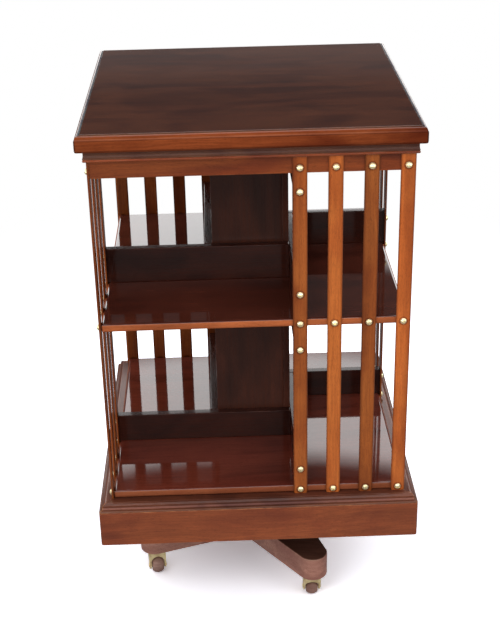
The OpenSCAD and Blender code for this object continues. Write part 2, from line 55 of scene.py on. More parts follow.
forward = Vector((
    math.sin(VIEW_YAW) * math.cos(VIEW_PITCH),
    math.cos(VIEW_YAW) * math.cos(VIEW_PITCH),
    -math.sin(VIEW_PITCH),
))
level = Vector((math.cos(VIEW_YAW), -math.sin(VIEW_YAW), 0))
upright = level.cross(forward)
right = math.cos(VIEW_ROLL) * level + math.sin(VIEW_ROLL) * upright
up = math.cos(VIEW_ROLL) * upright - math.sin(VIEW_ROLL) * level
camera_data = bpy.data.cameras.new("view")
camera_data.lens = camera_data.sensor_width * VIEW_FOCAL_PIXELS / VIEW_HEIGHT_PIXELS
camera = bpy.data.objects.new("view", camera_data)
scene.collection.objects.link(camera)
camera.matrix_world = Matrix.Translation(VIEW_PLACE) @ Matrix((right, up, -forward)).transposed().to_4x4()
scene.camera = camera
scene.view_settings.view_transform = "Standard"


# The studio: white all round to the camera, with a pale floor that keeps the bookcase's soft shadow.
# Polish sees a dim room with a light ceiling, and a low ring of white screens that the shelves mirror.
WHITE = (1, 1, 1, 1)
AMBIENT = 0.92
ROOM_GLOW = 0.1
CEILING_GLOW = 2.6
CEILING_EDGE = (0.55, 0.95)
HAZE_GLOW = 0.14
HAZE_EDGE = (0.235, 0.275)
FLOOR_GLOW = 0.35
FLOOR_HALF = 9.0
FLOOR_LIFT = 1.9
FLOOR_BOUNCE = 0.55
FLOOR_FADE = (0.55, 1.7)
FLOOR_TINT = {"Red": 0.99, "Green": 1.0, "Blue": 1.06}
SCREEN_RADIUS = 1.0
SCREEN_LOW = 0.6
SCREEN_HIGH = 1.0
SCREEN_SOFT = 0.08
SCREEN_GLOW = 4.0
SCREEN_SIDES = 96
LAMP_AIM = Vector((0, 0, 0.45))
LAMPS = {
    "lamp_front_left": ((-1.8, -2.8, 3.0), 1.8, 36.0),
    "lamp_front_right": ((2.5, -2.2, 2.7), 1.8, 20.0),
}


def add(tree, kind, settings=None, **inputs):
    """A node of a tree; each named input takes a value or another node's output."""
    node = tree.nodes.new(kind)
    for key, value in (settings or {}).items():
        setattr(node, key, value)
    for key, value in inputs.items():
        feed(tree, node.inputs[key.replace("_", " ")], value)
    return node


def feed(tree, socket, value):
    """Links an output to a socket, or sets a plain value on it."""
    if isinstance(value, bpy.types.NodeSocket):
        tree.links.new(value, socket)
    else:
        socket.default_value = value


def calc(tree, operation, first, second=0.0, third=0.0):
    """A sum, product or the like of values and outputs."""
    node = tree.nodes.new("ShaderNodeMath")
    node.operation = operation
    for socket, value in zip(node.inputs, (first, second, third)):
        feed(tree, socket, value)
    return node.outputs[0]


def between(tree, value, low, high, new_low=0.0, new_high=1.0):
    """Leads softly from one value to another while an output goes from low to high."""
    node = add(tree, "ShaderNodeMapRange", {"interpolation_type": "SMOOTHSTEP"}, Value=value)
    for key, number in (("From Min", low), ("From Max", high), ("To Min", new_low), ("To Max", new_high)):
        feed(tree, node.inputs[key], number)
    return node.outputs["Result"]


def choose(tree, factor, first, second):
    """A shader mixed from two."""
    node = add(tree, "ShaderNodeMixShader", Fac=factor)
    tree.links.new(first, node.inputs[1])
    tree.links.new(second, node.inputs[2])
    return node.outputs[0]


def new_material(name):
    """A material and its empty tree."""
    material = bpy.data.materials.new(name)
    material.use_nodes = True
    material.node_tree.nodes.clear()
    return material, material.node_tree


def place_in(tree):
    """The point of a piece that is shaded, in metres from the foot of the spindle's axis."""
    return add(tree, "ShaderNodeTexCoord").outputs["Object"]


def height_of(tree, place):
    """How high a point or a direction lies."""
    return add(tree, "ShaderNodeSeparateXYZ", Vector=place).outputs["Z"]


world = bpy.data.worlds.new("surround")
world.use_nodes = True
scene.world = world
surround = world.node_tree
surround.nodes.clear()
path = add(surround, "ShaderNodeLightPath").outputs
rise = height_of(surround, add(surround, "ShaderNodeTexCoord").outputs["Generated"])
mirrored = between(surround, rise, *CEILING_EDGE, ROOM_GLOW, CEILING_GLOW)
mirrored = calc(surround, "ADD", mirrored, between(surround, rise, *HAZE_EDGE, HAZE_GLOW, 0.0))
diffuse_share = calc(surround, "MULTIPLY", calc(surround, "SUBTRACT", 1.0, path["Is Glossy Ray"]), AMBIENT)
glow = calc(surround, "MULTIPLY_ADD", path["Is Glossy Ray"], mirrored, diffuse_share)
seen_white = calc(surround, "MAXIMUM", path["Is Camera Ray"], path["Is Transmission Ray"])
glow = calc(surround, "MAXIMUM", glow, seen_white)
white = add(surround, "ShaderNodeBackground", Color=WHITE, Strength=glow)
add(surround, "ShaderNodeOutputWorld", Surface=white.outputs[0])

floor_material, pale = new_material("pale_floor")
path = add(pale, "ShaderNodeLightPath").outputs
away = add(pale, "ShaderNodeVectorMath", {"operation": "LENGTH"}, Vector=place_in(pale)).outputs["Value"]
tone = calc(pale, "MULTIPLY_ADD", path["Is Camera Ray"], FLOOR_LIFT - FLOOR_BOUNCE, FLOOR_BOUNCE)
cool = {channel: calc(pale, "MULTIPLY", tone, share) for channel, share in FLOOR_TINT.items()}
matt = add(pale, "ShaderNodeBsdfDiffuse", Color=add(pale, "ShaderNodeCombineColor", **cool).outputs[0])
bright = add(pale, "ShaderNodeEmission", Color=WHITE, Strength=1.0)
dim = add(pale, "ShaderNodeEmission", Color=WHITE, Strength=FLOOR_GLOW)
far = calc(pale, "MULTIPLY", path["Is Camera Ray"], between(pale, away, *FLOOR_FADE))
seen = choose(pale, far, matt.outputs[0], bright.outputs[0])
seen = choose(pale, path["Is Glossy Ray"], seen, dim.outputs[0])
add(pale, "ShaderNodeOutputMaterial", Surface=seen)

floor_mesh = bpy.data.meshes.new("floor")
floor_corners = [(x * FLOOR_HALF, y * FLOOR_HALF, 0) for x, y in ((-1, -1), (1, -1), (1, 1), (-1, 1))]
floor_mesh.from_pydata(floor_corners, [], [(0, 1, 2, 3)])
floor_mesh.materials.append(floor_material)
floor = bpy.data.objects.new("floor", floor_mesh)
scene.collection.objects.link(floor)

screen_material, cloth = new_material("white_screens")
height = height_of(cloth, place_in(cloth))
fade_in = between(cloth, height, SCREEN_LOW, SCREEN_LOW + SCREEN_SOFT)
fade_out = between(cloth, height, SCREEN_HIGH - SCREEN_SOFT, SCREEN_HIGH, 1.0, 0.0)
strength = calc(cloth, "MULTIPLY", calc(cloth, "MULTIPLY", fade_in, fade_out), SCREEN_GLOW)
lit = add(cloth, "ShaderNodeEmission", Color=WHITE, Strength=strength)
add(cloth, "ShaderNodeOutputMaterial", Surface=lit.outputs[0])
screen_material.cycles.emission_sampling = "NONE"

ring = bmesh.new()
bmesh.ops.create_cone(ring, segments=SCREEN_SIDES, radius1=SCREEN_RADIUS, radius2=SCREEN_RADIUS,
                      depth=SCREEN_HIGH - SCREEN_LOW, cap_ends=False)
bmesh.ops.translate(ring, verts=ring.verts, vec=(0, 0, (SCREEN_HIGH + SCREEN_LOW) / 2))
screen_mesh = bpy.data.meshes.new("screens")
ring.to_mesh(screen_mesh)
ring.free()
screen_mesh.materials.append(screen_material)
screens = bpy.data.objects.new("screens", screen_mesh)
screens.visible_camera = False
screens.visible_diffuse = False
screens.visible_shadow = False
scene.collection.objects.link(screens)

for name, (stand_at, size, power) in LAMPS.items():
    lamp_data = bpy.data.lights.new(name, "AREA")
    lamp_data.shape = "SQUARE"
    lamp_data.size = size
    lamp_data.energy = power
    lamp = bpy.data.objects.new(name, lamp_data)
    lamp.location = stand_at
    lamp.rotation_euler = (LAMP_AIM - Vector(stand_at)).to_track_quat("-Z", "Y").to_euler()
    scene.collection.objects.link(lamp)


# The stand's cross: two long rails of mahogany, halved over each other, with round ends.
# Their upper faces are painted dark, a painted shade under the case; the sides are rubbed to a dull brown.
LEG_ARRIS = 0.0022
HUB_ARRIS = 0.0012
MERGE_WITHIN = 0.000002
FLAT_ANGLE = math.radians(0.4)
EASED_ANGLE = math.radians(33)
CORNER_ANGLE = math.radians(44)
MITRE_ANGLE = math.radians(60)
LEVEL_FACE = 0.05
SHORTEST_EASED = 0.015
BODY_OF = {node: body for body, nodes in frame["record"]["behaviour"]["bodies"].items() for node in nodes}
BOARD_MARKS = ("tone", "screws", "across")
board_numbers = itertools.count(1)


def corners_of(points):
    """The lowest and the highest corner of the box round some points."""
    points = list(points)
    return [Vector([pick(point[i] for point in points) for i in range(3)]) for pick in (min, max)]


def box_of(node):
    """The lowest and the highest corner of a CAD node."""
    return corners_of(vert.co for vert in frame["nodes"][node].data.vertices)


def merged(node):
    """A copy of a CAD node's mesh whose triangles are joined."""
    bm = bmesh.new()
    bm.from_mesh(frame["nodes"][node].data)
    bmesh.ops.remove_doubles(bm, verts=bm.verts, dist=MERGE_WITHIN)
    return bm


def boards_of(bm):
    """The separate solids of a mesh, each as a list of its points."""
    left = set(bm.verts)
    boards = []
    for start in bm.verts:
        if start not in left:
            continue
        left.discard(start)
        board, waiting = [], [start]
        while waiting:
            vert = waiting.pop()
            board.append(vert)
            for edge in vert.link_edges:
                other = edge.other_vert(vert)
                if other in left:
                    left.discard(other)
                    waiting.append(other)
        boards.append(board)
    return boards


def ease_edges(bm, width, steps):
    """Rounds the outer edges of a merged mesh, apart from small holes' rims, and marks the new faces."""
    layer = bm.faces.layers.float.new("arris")
    sharp = [edge for edge in bm.edges
             if edge.is_manifold and edge.is_convex and edge.calc_face_angle() > EASED_ANGLE]
    chain = {}

    def root(vert):
        while chain.setdefault(vert, vert) is not vert:
            vert = chain[vert]
        return vert

    for edge in sharp:
        chain[root(edge.verts[0])] = root(edge.verts[1])
    runs = {}
    for vert in list(chain):
        runs.setdefault(root(vert), []).append(vert.co)
    reach = {}
    for first, points in runs.items():
        low, high = corners_of(points)
        reach[first] = (high - low).length
    eased = [edge for edge in sharp if reach[root(edge.verts[0])] > SHORTEST_EASED]
    made = bmesh.ops.bevel(
        bm, geom=eased, offset=width, offset_type="OFFSET", segments=steps, profile=0.5,
        affect="EDGES", clamp_overlap=False, loop_slide=True,
    )
    for face in made["faces"]:
        face[layer] = 1.0


def number_boards(bm, marks):
    """Gives each separate board its own number, which shifts its grain, and lists the boards."""
    for key in marks:
        bm.verts.layers.float.new(key)
    layer = bm.verts.layers.float.new("board")
    boards = boards_of(bm)
    for board in boards:
        number = next(board_numbers)
        for vert in board:
            vert[layer] = number
    return boards


def meets_sharply(edge):
    """True at real corners and at mitres, where two mouldings meet at a right angle in plan."""
    if not edge.is_manifold:
        return True
    plans = [Vector((face.normal.x, face.normal.y, 0)) for face in edge.link_faces]
    mitred = min(plan.length for plan in plans) > LEVEL_FACE and plans[0].angle(plans[1]) > MITRE_ANGLE
    return mitred or edge.calc_face_angle() > CORNER_ANGLE


def settle(bm, name, material):
    """Turns a bmesh into a shaded piece: flat faces stay flat, rounds are smooth."""
    for face in bm.faces:
        face.smooth = True
    bm.normal_update()
    for edge in bm.edges:
        edge.smooth = not meets_sharply(edge)
    mesh = bpy.data.meshes.new(name)
    bm.to_mesh(mesh)
    bm.free()
    mesh.materials.append(material)
    piece = bpy.data.objects.new(name, mesh)
    scene.collection.objects.link(piece)
    even = piece.modifiers.new("even_shading", "WEIGHTED_NORMAL")
    even.keep_sharp = True
    depsgraph = bpy.context.evaluated_depsgraph_get()
    shaded = bpy.data.meshes.new_from_object(
        piece.evaluated_get(depsgraph), preserve_all_data_layers=True, depsgraph=depsgraph
    )
    piece.modifiers.clear()
    piece.data = shaded
    bpy.data.meshes.remove(mesh)
    shaded.name = name
    return piece


def dress(node, material, arris, steps=2, mark=None):
    """Puts the finished piece in a CAD node's place: the same shape, with eased edges and numbered boards."""
    bm = merged(node)
    bmesh.ops.dissolve_limit(bm, angle_limit=FLAT_ANGLE, verts=bm.verts, edges=bm.edges)
    ease_edges(bm, arris, steps)
    boards = number_boards(bm, BOARD_MARKS if mark else ())
    if mark:
        mark(bm, boards)
    piece = settle(bm, f"{node}_piece", material)
    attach(piece, BODY_OF[node])
    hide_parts(node)


def new_group(name, inputs, outputs):
    """An empty shader group with its named sockets, inputs as {name: (kind, default)}."""
    group = bpy.data.node_groups.new(name, "ShaderNodeTree")
    for key, (kind, value) in inputs.items():
        socket = group.interface.new_socket(key, in_out="INPUT", socket_type=kind)
        if value is not None:
            socket.default_value = value
    for key in outputs:
        group.interface.new_socket(key, in_out="OUTPUT", socket_type="NodeSocketFloat")
    return group, group.nodes.new("NodeGroupInput").outputs, group.nodes.new("NodeGroupOutput").inputs


def noise(tree, vector, scale, detail=2.0, roughness=0.5, distortion=0.0):
    """Cloudy noise, from 0 to 1; the larger the scale, the finer it is."""
    node = add(tree, "ShaderNodeTexNoise", Vector=vector, Scale=scale, Detail=detail,
               Roughness=roughness, Distortion=distortion)
    return node.outputs[0]


def moved(tree, operation, vector, other):
    """A vector with another added to it or multiplied into it."""
    node = add(tree, "ShaderNodeVectorMath", {"operation": operation})
    feed(tree, node.inputs[0], vector)
    feed(tree, node.inputs[1], other)
    return node.outputs[0]


# The grain runs along X. Each streak has its pitch along and across the grain, the part of its noise
# that shows, and the noise itself. The shift is from one board to the next, the sway that of the growth.
BOARD_SHIFT = (0.737, 0.391, 0.573)
SWAY_PITCH = (1.6, 3.0, 3.0)
SWAY_SCALE = 2.2
SWAY = (0.0, 0.05, 0.03)
STREAKS = {
    "Figure": ((1.4, 22.0, 22.0), (0.3, 0.7), {"scale": 1.6, "detail": 3.0, "distortion": 0.6}),
    "Fibre": ((6.0, 210.0, 210.0), (0.3, 0.7), {"scale": 1.7, "detail": 3.0, "roughness": 0.6}),
    "Pores": ((150.0, 2400.0, 2400.0), (0.56, 0.7), {"scale": 1.0, "detail": 1.0}),
    "Mottle": ((7.0, 13.0, 13.0), (0.32, 0.68), {"scale": 1.0, "detail": 2.0, "distortion": 0.8}),
}


def make_grain_group():
    """Mahogany's grain: broad figure, fine fibres, short open pores and mottle, shifted board by board."""
    group, given, made = new_group(
        "mahogany_grain", {"Vector": ("NodeSocketVector", None), "Board": ("NodeSocketFloat", 0.0)}, STREAKS)
    shift = [calc(group, "MULTIPLY", given["Board"], step) for step in BOARD_SHIFT]
    shift = add(group, "ShaderNodeCombineXYZ", X=shift[0], Y=shift[1], Z=shift[2]).outputs[0]
    placed = moved(group, "ADD", given["Vector"], shift)
    wave = noise(group, moved(group, "MULTIPLY", placed, SWAY_PITCH), SWAY_SCALE, detail=1.0)
    bent = moved(group, "ADD", placed, moved(group, "MULTIPLY", wave, SWAY))
    for key, (pitch, shown, kind) in STREAKS.items():
        streak = noise(group, moved(group, "MULTIPLY", bent, pitch), **kind)
        group.links.new(between(group, streak, *shown), made[key])
    return group


PATCHES = {"scale": 46.0, "detail": 3.0}
PATCHES_SHOWN = (0.38, 0.62)
SCUFFS = {"scale": 24.0, "detail": 6.0, "roughness": 0.7}
SCUFFS_SHOWN = (0.5, 0.75)
SCUFFED_AREAS = {"scale": 5.0, "detail": 2.0}
SCUFFED_AREAS_SHOWN = (0.35, 0.7)


def make_wear_group():
    """Where polish is rubbed off: broken patches along eased edges, and a few scuffs elsewhere."""
    group, given, made = new_group(
        "rubbed_polish", {"Vector": ("NodeSocketVector", None), "Arris": ("NodeSocketFloat", 0.0)},
        ("Rubbed", "Dull"))
    patches = between(group, noise(group, given["Vector"], **PATCHES), *PATCHES_SHOWN)
    scuffs = between(group, noise(group, given["Vector"], **SCUFFS), *SCUFFS_SHOWN)
    areas = between(group, noise(group, given["Vector"], **SCUFFED_AREAS), *SCUFFED_AREAS_SHOWN)
    group.links.new(calc(group, "MULTIPLY", patches, given["Arris"]), made["Rubbed"])
    group.links.new(calc(group, "MULTIPLY", scuffs, areas), made["Dull"])
    return group


grain_group = make_grain_group()
wear_group = make_wear_group()
ZONE_BLUR = 0.0003
GRAIN_TURN = {"X": (0, 0, 0), "Y": (0, 0, -math.pi / 2), "Z": (0, math.pi / 2, 0)}
MOTTLE_SHOWS = 0.55
FIBRE_SHOWS = 0.45
PORES_SHOW = 0.4
PORE_SHADE = 0.45
FIBRE_ROUGHENS = 0.08
SCUFFS_ROUGHEN = 0.16
PORE_RELIEF = -0.5
FIBRE_RELIEF = -0.25
RELIEF_STRENGTH = 0.3
RELIEF_DEPTH = 0.0001
RIPPLE = {"scale": 14.0, "detail": 1.0}
RIPPLE_DEPTH = 0.0003


def tint(tree, factor, first, second, mode="MIX"):
    """A colour mixed from two; each is a colour or an output."""
    node = add(tree, "ShaderNodeMix", {"data_type": "RGBA", "blend_type": mode})
    feed(tree, node.inputs[0], factor)
    feed(tree, node.inputs[6], first)
    feed(tree, node.inputs[7], second)
    return node.outputs[2]


def linear(red, green, blue):
    """A colour given as seen, 0 to 255, for a shader's socket."""
    return tuple(((c / 255 + 0.055) / 1.055) ** 2.4 for c in (red, green, blue)) + (1.0,)


def zone(tree, place, kind, edge):
    """One above a height, or nearer than an edge to the middle: all round, or on two opposite sides only."""
    parts = add(tree, "ShaderNodeSeparateXYZ", Vector=place).outputs
    if kind == "above":
        return between(tree, parts["Z"], edge - ZONE_BLUR, edge + ZONE_BLUR)
    across = calc(tree, "ABSOLUTE", parts["X"])
    along = calc(tree, "ABSOLUTE", parts["Y"])
    if kind == "within":
        far = calc(tree, "MAXIMUM", across, along)
    elif kind == "left and right":
        far = calc(tree, "MULTIPLY", across, calc(tree, "GREATER_THAN", across, along))
    else:
        far = calc(tree, "MULTIPLY", along, calc(tree, "GREATER_THAN", along, across))
    return between(tree, far, edge - ZONE_BLUR, edge + ZONE_BLUR, 1.0, 0.0)


def banded(bands):
    """Painted bands along mouldings, painted highlights and painted shade lines, between two heights or two
    distances from the middle, each with its tint.
    """
    def soil(tree, place, body):
        for kind, low, high, share in bands:
            band = calc(tree, "SUBTRACT", zone(tree, place, kind, low), zone(tree, place, kind, high))
            body = tint(tree, calc(tree, "ABSOLUTE", band), body, share + (1.0,), "MULTIPLY")
        return body
    return soil


def wood(name, along, tones, polish=0.36, coat=0.8, rubbed=(190, 120, 70), rub=0.5, sheen=0.05,
         mirror=0.07, depth=1.0, stained=None, inner_coat=0.8, worn=(), soil=None):
    """A polished wood whose grain runs along one axis, in three tones: dark streaks, body and lights."""
    dark, warm, light = tones
    material, tree = new_material(name)
    place = place_in(tree)
    turned = add(tree, "ShaderNodeMapping", Vector=place, Rotation=GRAIN_TURN[along]).outputs[0]
    board = add(tree, "ShaderNodeAttribute", {"attribute_name": "board"}).outputs["Fac"]
    arris = add(tree, "ShaderNodeAttribute", {"attribute_name": "arris"}).outputs["Fac"]
    grain = add(tree, "ShaderNodeGroup", {"node_tree": grain_group}, Vector=turned, Board=board).outputs
    wear = add(tree, "ShaderNodeGroup", {"node_tree": wear_group}, Vector=place, Arris=arris).outputs
    body = tint(tree, grain["Figure"], linear(*dark), linear(*warm))
    body = tint(tree, calc(tree, "MULTIPLY", grain["Mottle"], MOTTLE_SHOWS), body, linear(*light))
    body = tint(tree, calc(tree, "MULTIPLY", grain["Fibre"], FIBRE_SHOWS), body, linear(*dark))
    pore = linear(*(channel * PORE_SHADE for channel in dark))
    body = tint(tree, calc(tree, "MULTIPLY", grain["Pores"], PORES_SHOW), body, pore)
    body = tint(tree, calc(tree, "MULTIPLY", wear["Rubbed"], rub), body, linear(*rubbed))
    if soil:
        body = soil(tree, place, body)
    # A darker zone: a stained field on some pieces, painted shade on others.
    if stained:
        kind, edge, stain = stained
        inner = zone(tree, place, kind, edge)
        body = tint(tree, inner, body, stain + (1.0,), "MULTIPLY")
        coat = calc(tree, "MULTIPLY_ADD", inner, inner_coat - coat, coat)
    for kind, edge in worn:
        coat = calc(tree, "MULTIPLY", coat, zone(tree, place, kind, edge))
    rough = calc(tree, "MULTIPLY_ADD", grain["Fibre"], FIBRE_ROUGHENS, polish)
    rough = calc(tree, "MULTIPLY_ADD", wear["Dull"], SCUFFS_ROUGHEN, rough)
    fibres = calc(tree, "MULTIPLY", grain["Fibre"], FIBRE_RELIEF)
    height = calc(tree, "MULTIPLY_ADD", grain["Pores"], PORE_RELIEF, fibres)
    relief = add(tree, "ShaderNodeBump", Height=height, Strength=RELIEF_STRENGTH,
                 Distance=RELIEF_DEPTH * depth)
    ripple = add(tree, "ShaderNodeBump", Height=noise(tree, place, **RIPPLE), Strength=RELIEF_STRENGTH,
                 Distance=RIPPLE_DEPTH)
    shader = add(tree, "ShaderNodeBsdfPrincipled", Base_Color=body, Roughness=rough, Coat_Weight=coat,
                 Normal=relief.outputs[0], Coat_Normal=ripple.outputs[0])
    shader.inputs["Coat Roughness"].default_value = mirror
    shader.inputs["Specular IOR Level"].default_value = sheen
    add(tree, "ShaderNodeOutputMaterial", Surface=shader.outputs[0])
    return material


LEG_TOP = box_of("leg_rail_lower")[1].z
STAND_TONES = ((129, 81, 71), (177, 124, 107), (203, 151, 130))
# The rails' upper faces are painted dark above LEG_TOP: painted shade under the case.
stand_wood = wood("stand_mahogany", "X", STAND_TONES, polish=0.42, coat=0.3, rubbed=(196, 152, 126), rub=0.35,
                  stained=("above", LEG_TOP - 0.0008, (0.25, 0.22, 0.2)))
dress("leg_rail_lower", stand_wood, LEG_ARRIS, 3)
dress("leg_rail_upper", stand_wood, LEG_ARRIS, 3)
dress("hub_block", stand_wood, HUB_ARRIS)


# The spindle and its irons: a bright steel bar in a cast flange, turning in a cast guide and cup.
# They are oiled, dull and dusty where nothing rubs them, and wood screws hold them.
IRON_ARRIS = 0.0008
SCREW_ARRIS = 0.0003
STAINS_SHOWN = (0.42, 0.66)
MARKS_PER_STAIN = 9
STAIN_ROUGHENS = 0.18
MARKS_ROUGHEN = 0.1
METAL_RELIEF = 0.00008


def metal(name, colour, stain, rough, stains=0.4, bump=0.4, scale=60.0, metallic=1.0):
    """A cast or turned metal with stains and fine handling marks."""
    material, tree = new_material(name)
    place = place_in(tree)
    patches = between(tree, noise(tree, place, scale, detail=4.0, roughness=0.6), *STAINS_SHOWN)
    marks = noise(tree, place, scale * MARKS_PER_STAIN, detail=3.0, roughness=0.7)
    body = tint(tree, calc(tree, "MULTIPLY", patches, stains), linear(*colour), linear(*stain))
    roughness = calc(tree, "MULTIPLY_ADD", marks, MARKS_ROUGHEN, rough)
    roughness = calc(tree, "MULTIPLY_ADD", patches, STAIN_ROUGHENS, roughness)
    height = calc(tree, "ADD", marks, patches)
    relief = add(tree, "ShaderNodeBump", Height=height, Strength=bump, Distance=METAL_RELIEF)
    shader = add(tree, "ShaderNodeBsdfPrincipled", Base_Color=body, Roughness=roughness,
                 Normal=relief.outputs[0])
    shader.inputs["Metallic"].default_value = metallic
    add(tree, "ShaderNodeOutputMaterial", Surface=shader.outputs[0])
    return material


steel = metal("spindle_steel", (176, 172, 166), (96, 80, 66), 0.24)
iron = metal("cast_iron", (66, 64, 64), (84, 60, 46), 0.5, stains=0.6, bump=0.9, scale=120.0)
dress("spindle", steel, IRON_ARRIS)
for node in ("spindle_flange", "guide_plate", "pivot_cup"):
    dress(node, iron, IRON_ARRIS)
for node in ("stand_screws", "case_screws"):
    dress(node, steel, SCREW_ARRIS, 1)


# The casters: a brass plate under each leg, a cast brass horn that swivels, a riveted axle
# and a turned hardwood wheel with a crowned tread.
PLATE_ARRIS = 0.0005
HORN_ARRIS = 0.0009
AXLE_ARRIS = 0.0004
WHEEL_ARRIS = 0.0008
WHEEL_TONES = ((124, 90, 80), (170, 132, 118), (190, 156, 142))
brass = metal("aged_brass", (250, 228, 176), (176, 140, 92), 0.34, stains=0.45, scale=90.0, metallic=0.65)
wheel_wood = wood("wheel_hardwood", "X", WHEEL_TONES, polish=0.45, coat=0.1, rubbed=(160, 130, 110), rub=0.3)
dress("caster_plates", brass, PLATE_ARRIS)
for corner in ("front_right", "back_right", "back_left", "front_left"):
    dress(f"horn_{corner}", brass, HORN_ARRIS, 3)
    dress(f"axle_{corner}", brass, AXLE_ARRIS)
    dress(f"wheel_{corner}", wheel_wood, WHEEL_ARRIS, 3)


# The plinth: four mitred boards, and on them the mitred moulding with the ledge that the slats stand on.
# The moulding is darker than the boards and rubbed light along its eased edges, with painted highlights:
# light bands along its round, its fillet and a line a little way in from its front.
PLINTH_ARRIS = 0.001
MOULDING_ARRIS = 0.0004
CAP_FOOT = box_of("plinth_cap_front")[0].z
CAP_FRONT = -box_of("plinth_cap_front")[0].y
PLINTH_TONES = ((103, 46, 24), (140, 66, 35), (167, 89, 46))
MOULDING_TONES = ((67, 35, 26), (100, 53, 37), (130, 72, 48))
# Painted highlights: light, greyish bands along the moulding's round, its fillet and a line a little way in
# from its front.
MOULDING_PAINTED_HIGHLIGHTS = (
    ("above", CAP_FOOT - 0.0002, CAP_FOOT + 0.0025, (1.1, 1.3, 1.3)),
    ("above", CAP_FOOT + 0.0028, CAP_FOOT + 0.0065, (2.3, 3.3, 4.8)),
    ("within", CAP_FRONT - 0.0125, CAP_FRONT - 0.0108, (1.5, 1.9, 2.3)),
)
SIDES = {"front": "X", "right": "Y", "back": "X", "left": "Y"}


def both_ways(name, tones, **finish):
    """One wood for the boards that lie along X, and one for those along Y."""
    return {axis: wood(f"{name}_{axis}", axis, tones, **finish) for axis in "XY"}


plinth_wood = both_ways("plinth_mahogany", PLINTH_TONES)
moulding_wood = both_ways("moulding_mahogany", MOULDING_TONES, rub=0.7, coat=0.35,
                          soil=banded(MOULDING_PAINTED_HIGHLIGHTS))
for side, axis in SIDES.items():
    dress(f"plinth_{side}", plinth_wood[axis], PLINTH_ARRIS, 3)
    dress(f"plinth_cap_{side}", moulding_wood[axis], MOULDING_ARRIS)


# The floors of the two tiers: the base board on the plinth and the middle board, both with rounded edges,
# and the rough bearer under the base board. Only their polished upper faces mirror the screens.
SHELF_ARRIS = 0.0006
BEARER_ARRIS = 0.001
SHELF_HALF = box_of("mid_shelf")[1].x
SHELF_FIELD = SHELF_HALF - 0.0018
SHELF_FINISH = {"coat": 1.0, "sheen": 0.0, "mirror": 0.05, "rub": 0.45, "inner_coat": 0.95,
                "worn": (("within", SHELF_HALF - 0.0014),)}
SHELF_TONES = ((141, 75, 45), (186, 101, 59), (214, 120, 70))
BASE_TONES = ((112, 60, 38), (146, 79, 52), (166, 96, 62))
BEARER_TONES = ((92, 62, 42), (128, 92, 64), (150, 112, 80))
shelf_wood = wood("shelf_mahogany", "X", SHELF_TONES, rubbed=(196, 122, 80),
                  stained=("within", SHELF_FIELD, (0.18, 0.155, 0.27)), **SHELF_FINISH)
base_wood = wood("base_mahogany", "X", BASE_TONES, rubbed=(196, 140, 112),
                 stained=("within", SHELF_FIELD, (0.5, 0.33, 0.44)), **SHELF_FINISH)
bearer_wood = wood("bearer_pine", "X", BEARER_TONES, polish=0.6, coat=0.0)
dress("base_board", base_wood, SHELF_ARRIS)
dress("mid_shelf", shelf_wood, SHELF_ARRIS)
dress("bottom_bearer", bearer_wood, BEARER_ARRIS)


# The square column that hides the spindle, in two tiers of four lapped boards,
# and the low book stops and head rails that run past its faces to the first slats.
COLUMN_ARRIS = 0.0006
STOP_ARRIS = 0.0012
COLUMN_TONES = ((47, 27, 22), (67, 36, 27), (90, 47, 33))
RAIL_TONES = ((32, 13, 10), (52, 22, 15), (74, 34, 23))
column_wood = wood("column_mahogany", "Z", COLUMN_TONES, polish=0.24, coat=0.3, rubbed=(96, 56, 44), rub=0.4)
rail_wood = both_ways("rail_mahogany", RAIL_TONES, polish=0.24, coat=0.3, rubbed=(84, 50, 40), rub=0.4)
for tier in ("upper", "lower"):
    dress(f"column_{tier}", column_wood, COLUMN_ARRIS)
for side, axis in SIDES.items():
    dress(f"upper_stop_{side}", rail_wood[axis], STOP_ARRIS, 3)
    dress(f"lower_stop_{side}", rail_wood[axis], STOP_ARRIS, 3)
for tier in ("upper", "lower"):
    dress(f"{tier}_rails", rail_wood["X"], STOP_ARRIS, 3)


# The head of the case: its own top, the frieze boards under it and the mitred cornice round it.
# The cornice's neck, in the top board's shade, is painted darker and duller than its bead: painted shade.
FRIEZE_ARRIS = 0.0005
BEAD_TOP = box_of("cornice_front")[0].z + 0.0042
FRIEZE_TONES = ((94, 41, 21), (135, 60, 27), (162, 85, 39))
CORNICE_TONES = ((100, 42, 24), (143, 63, 34), (171, 88, 46))
frieze_wood = both_ways("frieze_mahogany", FRIEZE_TONES, coat=0.4)
# Above the bead the cornice is painted darker and its coat is thin: painted shade under the top board.
cornice_wood = both_ways("cornice_mahogany", CORNICE_TONES, rub=0.7, coat=0.3, inner_coat=0.1,
                         stained=("above", BEAD_TOP, (0.43, 0.78, 1.5)))
for side, axis in SIDES.items():
    dress(f"frieze_{side}", frieze_wood[axis], FRIEZE_ARRIS)
    dress(f"cornice_{side}", cornice_wood[axis], MOULDING_ARRIS)
dress("case_top", shelf_wood, SHELF_ARRIS)


# The top board: one wide mahogany board, darkened and lightly scuffed on its field, with an ovolo edge that
# is rubbed lighter along its arrises.
# Along the edge lie painted highlights on the ovolo and its fillet and a painted shade line on the outer
# arris; on the left and right the ovolo has a painted pale reflection between painted dark lines.
TOP_HALF = box_of("top_board")[1].x
TOP_HEIGHT = box_of("top_board")[1].z
TOP_TONES = ((91, 37, 20), (131, 60, 31), (161, 83, 44))
